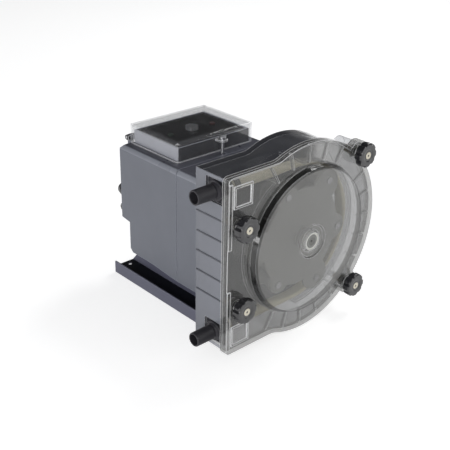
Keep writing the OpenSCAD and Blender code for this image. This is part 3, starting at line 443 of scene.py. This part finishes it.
def dress(node, name, finish, round_mm, edge=None, zones=(), corner_mm=0.0):
    """Stands for a CAD node with a copy whose flats are joined and whose edges are rounded.

    The rounded edges may have a finish of their own, as worn paint has, or as painted highlights on clear
    edges.
    Each zone is a finish and a test that picks its faces."""
    solid = frame["nodes"][node]
    shape = bmesh.new()
    shape.from_mesh(solid.data)
    bmesh.ops.remove_doubles(shape, verts=shape.verts, dist=2e-6)
    bmesh.ops.dissolve_limit(shape, angle_limit=radians(0.6), verts=shape.verts, edges=shape.edges)
    shape.normal_update()
    if corner_mm:
        round_left(shape, corner_mm)
    for face in shape.faces:
        face.material_index = 0
    hard = [e for e in shape.edges if e.is_manifold and e.calc_face_angle(0) > radians(ROUND_ABOVE)]
    bmesh.ops.bevel(shape, geom=hard, offset=round_mm * MM, offset_type="OFFSET", segments=ROUND_STEPS,
                    profile=0.5, affect="EDGES", clamp_overlap=True, material=1 if edge else -1)
    shape.normal_update()
    for face in shape.faces:
        for index, (zone, test) in enumerate(zones):
            if test(face):
                face.material_index = index + 2
    more = [edge or finish] + [zone for zone, test in zones]
    made = piece(shape, name, finish, solid["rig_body"], more=more)
    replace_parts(made, node)


def round_left(shape, radius):
    """Gives the outer left corners of the head a larger round, leaving the walls behind them."""
    left = min(v.co.x for v in shape.verts) / MM
    tall = max(abs(v.co.z / MM - AXIS_Z) for v in shape.verts if v.co.x / MM < left + 1.2 * radius)
    for way in (1, -1):
        level = AXIS_Z + way * (tall - radius)
        for place, normal in [((0, 0, level * MM), (0, 0, way)), (((left + radius) * MM, 0, 0), (-1, 0, 0))]:
            near = [f for f in shape.faces if way * (f.calc_center_median().z / MM - AXIS_Z) > 0]
            parts = list({v for f in near for v in f.verts}) + list({e for f in near for e in f.edges}) + near
            bmesh.ops.bisect_plane(shape, geom=parts, dist=2e-5, plane_co=place, plane_no=normal)
    for v in shape.verts:
        across = v.co.x / MM - (left + radius)
        up = abs(v.co.z / MM - AXIS_Z) - (tall - radius)
        far = hypot(across, up)
        if across < 0 < up and far > radius:
            way = 1 if v.co.z > AXIS_Z * MM else -1
            v.co.x = (left + radius + across * radius / far) * MM
            v.co.z = (AXIS_Z + way * (tall - radius + up * radius / far)) * MM
    shape.normal_update()


def middle(face):
    """A face's middle, in millimetres."""
    return face.calc_center_median() / MM


def depth(face):
    """Depth of a face's middle behind the cover's front, in millimetres."""
    return middle(face).y - HEAD_Y


def rings(face):
    """Smallest and largest distance of a face's corners from the rotor's axis, in millimetres."""
    far = [hypot(v.co.x, v.co.z - AXIS_Z * MM) / MM for v in face.verts]
    return min(far), max(far)


def on_disc(face):
    return rings(face)[1] < DISC_R and depth(face) < DISC_DEPTH and abs(face.normal.y) > FACING


def on_disc_wall(face):
    near, far = rings(face)
    inner, outer = DISC_WALL_R
    return near > inner and far < outer and depth(face) < DISC_WALL_DEPTH and abs(face.normal.y) < FACING


def on_tub_back(face):
    return depth(face) > TUB_BACK_DEPTH and abs(face.normal.y) > FACING


def on_tub_side(face):
    return face.normal.x < -FACING and middle(face).x < TUB_SIDE_X


def on_tub_rib(face):
    return min(v.co.x for v in face.verts) < TUB_RIB_X * MM and depth(face) < TUB_RIB_DEPTH


def on_base_floor(face):
    return face.normal.z > FACING and middle(face).z < BASE_FLOOR_Z


def on_housing_top(face):
    return face.normal.z > FACING and middle(face).z > HOUSING_TOP_Z


def on_housing_edge(face):
    return 0.2 < face.normal.z < 0.85 and middle(face).z > HOUSING_TOP_Z


def on_hinge(face):
    return middle(face).y > HINGE_Y


def on_plinth_front(face):
    return face.normal.y < -0.7


def at_head(shape, x, z, y=0.0):
    """Moves a shape made along Y into the pump head's place, from millimetres to metres."""
    bmesh.ops.transform(shape, verts=shape.verts,
                        matrix=Matrix.Scale(MM, 4) @ Matrix.Translation((x, HEAD_Y + y, AXIS_Z + z)))


def add_spun(shape, profile, steps, closed=True):
    """Adds a turned solid about Y from points of radius and depth, in millimetres."""
    first = [shape.verts.new((r, y, 0)) for r, y in profile]
    pairs = list(zip(first, first[1:] + first[:1] if closed else first[1:]))
    edges = [shape.edges.new(pair) for pair in pairs]
    before = set(shape.verts)
    bmesh.ops.spin(shape, geom=first + edges, cent=(0, 0, 0), axis=(0, 1, 0), dvec=(0, 0, 0),
                   angle=2 * pi, steps=steps, use_merge=True)
    fresh = [v for v in shape.verts if v not in before] + first
    bmesh.ops.remove_doubles(shape, verts=fresh, dist=1e-4)
    bmesh.ops.recalc_face_normals(shape, faces=shape.faces)


def spun(profile, steps):
    shape = bmesh.new()
    add_spun(shape, profile, steps)
    return shape


def flute_r(angle):
    """Radius of the knob's rim at an angle: a circle with round cuts between its lobes."""
    step = 2 * pi / FLUTES
    off = (angle + step / 2) % step - step / 2
    centre = KNOB_R + FLUTE_CUT_OUT
    reach = FLUTE_CUT_R ** 2 - (centre * sin(off)) ** 2
    if reach <= 0:
        return KNOB_R
    return min(KNOB_R, centre * cos(off) - sqrt(reach))


def add_grip(shape, count=128):
    """Adds the knob's grip: rings from the rim of its face to its back, bridged one to the next."""
    front = KNOB_FRONT
    back = KNOB_FRONT + KNOB_H
    # Each level is a depth and a share of the full radius, and the flutes fade out towards the middle
    levels = [(front + 0.9, 0.42), (front + 0.9, 0.46), (front + 0.3, 0.50), (front, 0.60), (front, 0.86),
              (front + 0.35, 0.935), (front + 1.3, 0.985), (front + 2.8, 1.0), (back - 2.2, 1.0),
              (back - 0.9, 0.98), (back, 0.92), (back, 0.5)]
    loops = []
    for y, share in levels:
        ring = []
        for k in range(count):
            angle = 2 * pi * k / count
            rim = flute_r(angle + pi / FLUTES)
            lobe = KNOB_R + (rim - KNOB_R) * max(0.0, (share - 0.6) / 0.4)
            ring.append(shape.verts.new((lobe * share * cos(angle), y, lobe * share * sin(angle))))
        loops.append([shape.edges.new((ring[k], ring[(k + 1) % count])) for k in range(count)])
    for first, second in zip(loops, loops[1:]):
        bmesh.ops.bridge_loops(shape, edges=first + second)
    bmesh.ops.holes_fill(shape, edges=loops[0] + loops[-1], sides=count)
    bmesh.ops.recalc_face_normals(shape, faces=shape.faces)


def knob(index):
    """Hand knob: fluted grip with a domed rim, collar behind it, a threaded stud and a plug in its face."""
    x, z = KNOBS[index]
    front = KNOB_FRONT
    back = KNOB_FRONT + KNOB_H
    shape = bmesh.new()
    add_grip(shape)
    stud = [(0, back - 0.5), (9.0, back - 0.5), (9.0, back + 2.1), (8.6, back + 2.5), (STUD_R, back + 2.5),
            (STUD_R, 8.0)]
    y = 9.4
    while y < STUD_END - 1.4:
        stud += [(STUD_R, y), (STUD_R - 0.5, y + 0.55)]
        y += STUD_PITCH
    stud += [(STUD_R - 0.1, STUD_END - 0.8), (STUD_R - 0.8, STUD_END), (0, STUD_END)]
    add_spun(shape, stud, 40, closed=False)
    at_head(shape, x, z)
    name = f"knob_grip_{index + 1}"
    body = f"knob_{index + 1}"
    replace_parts(piece(shape, name, "black", body, 34), body)
    plug = spun([(1.6, front + 2.6), (1.6, front + 0.5), (2.1, front + 0.15), (4.6, front + 0.15),
                 (5.2, front + 0.5), (5.2, front + 2.6)], 48)
    at_head(plug, x, z)
    piece(plug, f"knob_plug_{index + 1}", "cream", body)


def fitting(sign, node, name):
    """Hose fitting: tapered pipe thread, chamfered mouth, collar, stop flange and tube spigot."""
    tip = HOSE_TIP
    profile = [(4.0, 103.0), (4.6, 103.0), (4.78, 105.0), (4.78, 123.4), (8.9, 123.6), (8.9, 139.0),
               (14.4, 139.0), (14.4, 147.2), (13.9, 147.6), (11.6, 147.6), (9.6, 150.2), (9.6, 152.0)]
    along = THREAD_START
    while along < tip - 1.6:
        crest = THREAD_R - (along - THREAD_START) * THREAD_TAPER
        root = crest - THREAD_DEPTH
        profile += [(root, along), (crest, along + THREAD_PITCH * 0.38), (crest, along + THREAD_PITCH * 0.55),
                    (root, along + THREAD_PITCH * 0.93)]
        along += THREAD_PITCH
    profile += [(9.9, tip - 0.6), (9.4, tip), (8.0, tip), (7.7, tip - 0.5), (7.7, tip - 19.6),
                (4.0, tip - 20.0)]
    shape = spun(profile, 72)
    plate = bmesh.ops.create_cube(shape, size=1.0)["verts"]
    bmesh.ops.scale(shape, verts=plate, vec=FLANGE)
    bmesh.ops.translate(shape, verts=plate, vec=(0, FLANGE_AT, 0))
    edges = list({e for v in plate for e in v.link_edges})
    bmesh.ops.bevel(shape, geom=edges, offset=0.8, segments=2, profile=0.5, affect="EDGES", material=-1)
    bmesh.ops.rotate(shape, verts=shape.verts, cent=(0, 0, 0), matrix=Matrix.Rotation(radians(90), 3, "Z"))
    at_head(shape, 0, sign * TUBE_PATH_R, TUBE_Y)
    made = piece(shape, name, "fitting", "root", 32)
    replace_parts(made, node)


def bushing():
    """Nylon bushing in the disc's middle, with two rings turned in its face and a paler outer one."""
    shape = spun([(6.05, 1.4), (12.6, 1.4), (13.0, 1.0), (13.0, -9.3), (12.3, -9.9), (10.6, -9.9),
                  (10.2, -9.4), (9.4, -9.4), (9.0, -9.9), (7.0, -9.9), (6.05, -9.3)], 72)
    at_head(shape, 0, 0)
    for face in shape.faces:
        face.material_index = 1 if rings(face)[0] > BUSH_RING_R else 0
    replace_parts(piece(shape, "disc_bushing", "bush", "cover", more=["nylon"]), "cover_bushing")


def pale_floor():
    """Floor that looks white to the camera and in gloss, and keeps the object's shadow."""
    kit = Kit(bpy.data.materials.new("Pale floor"))
    camera, glossy, through = kit.outputs(("Is Camera Ray", "Is Glossy Ray", "Is Transmission Ray"),
                                          "ShaderNodeLightPath")
    pale = kit.node("ShaderNodeBsdfDiffuse", sockets={"Color": (0.72, 0.72, 0.72)})
    glow = kit.node("ShaderNodeEmission", sockets={"Color": (1, 1, 1), "Strength": 0.64})
    dark = kit.node("ShaderNodeEmission", sockets={"Color": (0, 0, 0), "Strength": 0.0})
    lit = kit.mix(camera + glossy + through, dark, glow)
    kit.done(kit.node("ShaderNodeAddShader", sockets={0: pale, 1: lit}))
    bpy.ops.mesh.primitive_plane_add(size=14, location=(0, 0, -0.0004))
    floor = bpy.context.object
    floor.name = "floor"
    floor.data.materials.append(kit.owner)


def sky():
    """Soft even light, and a grey that darkens upwards for what the camera and the gloss see of it."""
    world = bpy.data.worlds.new("Studio")
    bpy.context.scene.world = world
    kit = Kit(world, "ShaderNodeOutputWorld")
    camera, glossy = kit.outputs(("Is Camera Ray", "Is Glossy Ray"), "ShaderNodeLightPath")
    way = kit.node("ShaderNodeTexCoord", out="Generated")
    height = kit.node("ShaderNodeSeparateXYZ", sockets={0: way}, out="Z")
    seen = kit.node("ShaderNodeBackground", sockets={
        "Color": (1, 1, 1), "Strength": kit.span(height, 0.1, 0.3, 0.3, 0.03)})
    soft = kit.node("ShaderNodeBackground", sockets={"Color": (0.97, 0.98, 1), "Strength": 0.22})
    kit.done(kit.mix(kit.math("MAXIMUM", camera, glossy), soft, seen))


def lamps():
    for name, place, size, power in LAMPS:
        lamp = bpy.data.lights.new(name, "AREA")
        lamp.shape = "SQUARE"
        lamp.size = size
        lamp.energy = power
        holder = bpy.data.objects.new(name, lamp)
        holder.location = place
        holder.rotation_euler = (Vector(LAMPS_AIM) - Vector(place)).to_track_quat("-Z", "Y").to_euler()
        bpy.context.scene.collection.objects.link(holder)


def camera_of_the_photo():
    scene = bpy.context.scene
    view = bpy.data.cameras.new("View")
    view.sensor_width = 36
    view.lens = CAMERA_LENS
    view.clip_end = 30
    holder = bpy.data.objects.new("View", view)
    turn = radians(CAMERA_TURN)
    lift = radians(CAMERA_LIFT)
    away = Vector((-sin(turn) * cos(lift), -cos(turn) * cos(lift), sin(lift)))
    holder.matrix_world = (Matrix.Translation(Vector(CAMERA_TARGET) + away * CAMERA_FAR)
                           @ (-away).to_track_quat("-Z", "Y").to_matrix().to_4x4()
                           @ Matrix.Rotation(radians(CAMERA_ROLL), 4, "Z"))
    scene.collection.objects.link(holder)
    scene.camera = holder


bpy.context.scene.view_settings.view_transform = "Standard"
bpy.context.scene.cycles.transparent_max_bounces = 40
pale_floor()
sky()
lamps()
camera_of_the_photo()

for finish, nodes in KEPT.items():
    for node in nodes:
        paint(node, finish)

for node, name in [("base_side_left", "base_lip_left"), ("base_side_right", "base_lip_right")]:
    dress(node, name, "base", 0.5, edge="worn", zones=[("base floor", on_base_floor)])
dress("base_saddle", "base_rise", "base", 0.5, edge="worn")
dress("base_ribs", "base_stiffeners", "base", 0.3)
# The housing's top faces take painted shade, and its upper rounded edge a painted highlight
for node, name in [("gear_housing", "gear_shell"), ("motor_housing", "motor_shell")]:
    dress(node, name, "housing", 0.7,
          zones=[("housing top", on_housing_top), ("housing edge", on_housing_edge)])
# The plinth's front faces take painted shade
dress("control_plinth", "plinth_rim", "plinth", 1.0, zones=[("plinth front", on_plinth_front)])
dress("control_panel", "panel_plate", "panel", 0.5)
dress("lid", "lid_shell", "lid", 0.8, edge="lid edge", zones=[("black", on_hinge)])
dress("head_housing", "head_tub", "tub", 0.9, edge="tub edge",
      zones=[("tub back", on_tub_back), ("tub side", on_tub_side), ("tub rib", on_tub_rib)])
dress("front_cover", "cover_shell", "cover", 1.0, edge="cover edge", corner_mm=COVER_CORNER_R,
      zones=[("disc", on_disc), ("disc wall", on_disc_wall)])
dress("rotor_front_plate", "rotor_face", "rotor", 0.7)
dress("rotor_back_plate", "rotor_back", "rotor", 0.7)
bushing()
fitting(-1, "inlet_fitting", "inlet_hose_end")
fitting(1, "outlet_fitting", "outlet_hose_end")
for place in range(len(KNOBS)):
    knob(place)
